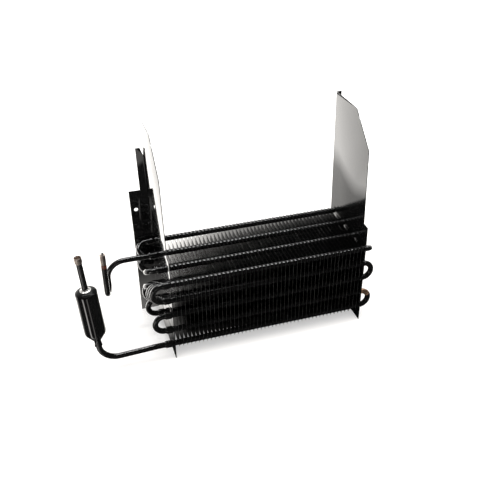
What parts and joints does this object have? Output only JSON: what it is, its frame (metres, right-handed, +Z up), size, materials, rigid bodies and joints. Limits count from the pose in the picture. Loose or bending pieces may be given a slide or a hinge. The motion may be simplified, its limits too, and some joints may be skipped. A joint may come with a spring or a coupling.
{
  "type": "evaporator coil",
  "caption": "Finned evaporator coil: staggered black tubes through a block of upright fins between two tall end plates, with accumulator, suction and inlet pipes on the left.",
  "frame": {"origin": "under the middle of the whole coil's bounding box, on the surface that the end plates stand on", "axes": "+X along the tubes, from the suction and inlet end towards the plain end; +Y from the front of the fin block to the flanges at the back; +Z up"},
  "size_m": [0.4254, 0.135, 0.32],
  "materials": {
    "plate_coat": "gloss black coat on sheet steel",
    "fin_coat": "gloss black coat on thin aluminium sheet",
    "tube_coat": "gloss black coat on round tube",
    "accumulator_coat": "high gloss black coat",
    "bare_copper": "bare, pale copper",
    "solder": "bright solder"
  },
  "bodies": {
    "root": {"left_end_plate": "plate_coat", "right_end_plate": "plate_coat", "fins": "fin_coat", "suction_pipe": "tube_coat", "accumulator": "accumulator_coat", "solder_ring": "solder", "outlet_tube": "tube_coat", "outlet_cup": "bare_copper", "inlet_pipe": "tube_coat", "inlet_end": "bare_copper", "inlet_tip": "solder", "hairpin_01": "tube_coat", "hairpin_02": "tube_coat", "hairpin_03": "tube_coat", "hairpin_04": "tube_coat", "hairpin_05": "tube_coat", "hairpin_06": "tube_coat", "hairpin_07": "tube_coat", "hairpin_08": "tube_coat", "hairpin_09": "tube_coat", "hairpin_10": "tube_coat", "hairpin_11": "tube_coat", "return_bend_01": "tube_coat", "return_bend_02": "tube_coat", "return_bend_03": "tube_coat", "return_bend_04": "tube_coat", "return_bend_05": "tube_coat", "return_bend_06": "tube_coat", "return_bend_07": "tube_coat", "return_bend_08": "tube_coat", "return_bend_09": "tube_coat", "return_bend_10": "tube_coat"}
  },
  "joints": []
}
